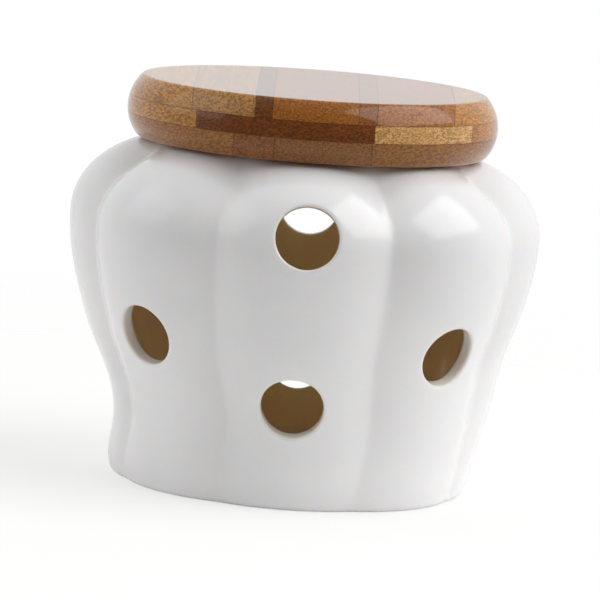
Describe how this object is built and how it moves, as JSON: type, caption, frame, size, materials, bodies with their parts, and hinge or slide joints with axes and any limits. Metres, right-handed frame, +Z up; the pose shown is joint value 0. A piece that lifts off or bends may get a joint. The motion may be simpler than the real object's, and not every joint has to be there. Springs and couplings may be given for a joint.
{
  "type": "garlic keeper",
  "caption": "Lobed ceramic garlic keeper with round vent holes through its wall and a thick laminated bamboo lid on a plug with a seal ring; the lid lifts off and turns.",
  "frame": {"origin": "centre of the pot's base, on the table", "axes": "+Z up through the lid, -Y toward the front, where the lobe with two vent holes is, +X to the right seen from the front"},
  "size_m": [0.135, 0.1339, 0.115],
  "materials": {
    "white_glaze": "gloss, with a cream glaze inside",
    "bamboo_tan": "satin varnish",
    "bamboo_brown": "satin varnish",
    "bamboo_dark": "satin varnish",
    "bamboo_golden": "satin varnish",
    "silicone": "matt, translucent"
  },
  "bodies": {
    "pot": {"pot_body": "white_glaze"},
    "seal_ring": {"seal_ring": "silicone"},
    "lid": {"lid_plug": "bamboo_tan", "lid_bottom_strip_1": "bamboo_tan", "lid_bottom_strip_2": "bamboo_brown", "lid_bottom_strip_3": "bamboo_tan", "lid_bottom_strip_4": "bamboo_tan", "lid_core_strip_1": "bamboo_tan", "lid_core_strip_2": "bamboo_dark", "lid_core_strip_3": "bamboo_golden", "lid_core_strip_4": "bamboo_brown", "lid_top_strip_1": "bamboo_tan", "lid_top_strip_2": "bamboo_brown", "lid_top_strip_3": "bamboo_dark", "lid_top_strip_4": "bamboo_tan", "lid_top_strip_5": "bamboo_dark", "lid_top_strip_6": "bamboo_brown", "lid_top_strip_7": "bamboo_golden"}
  },
  "joints": [
    {"name": "lid_lift", "type": "slide", "parent": "pot", "child": "seal_ring", "axis": [0, 0, 1], "range_m": [0, 0.06]},
    {"name": "lid_turn", "type": "hinge", "parent": "seal_ring", "child": "lid", "pos_m": [0, 0, 0.0975], "axis": [0, 0, 1], "continuous": true}
  ]
}
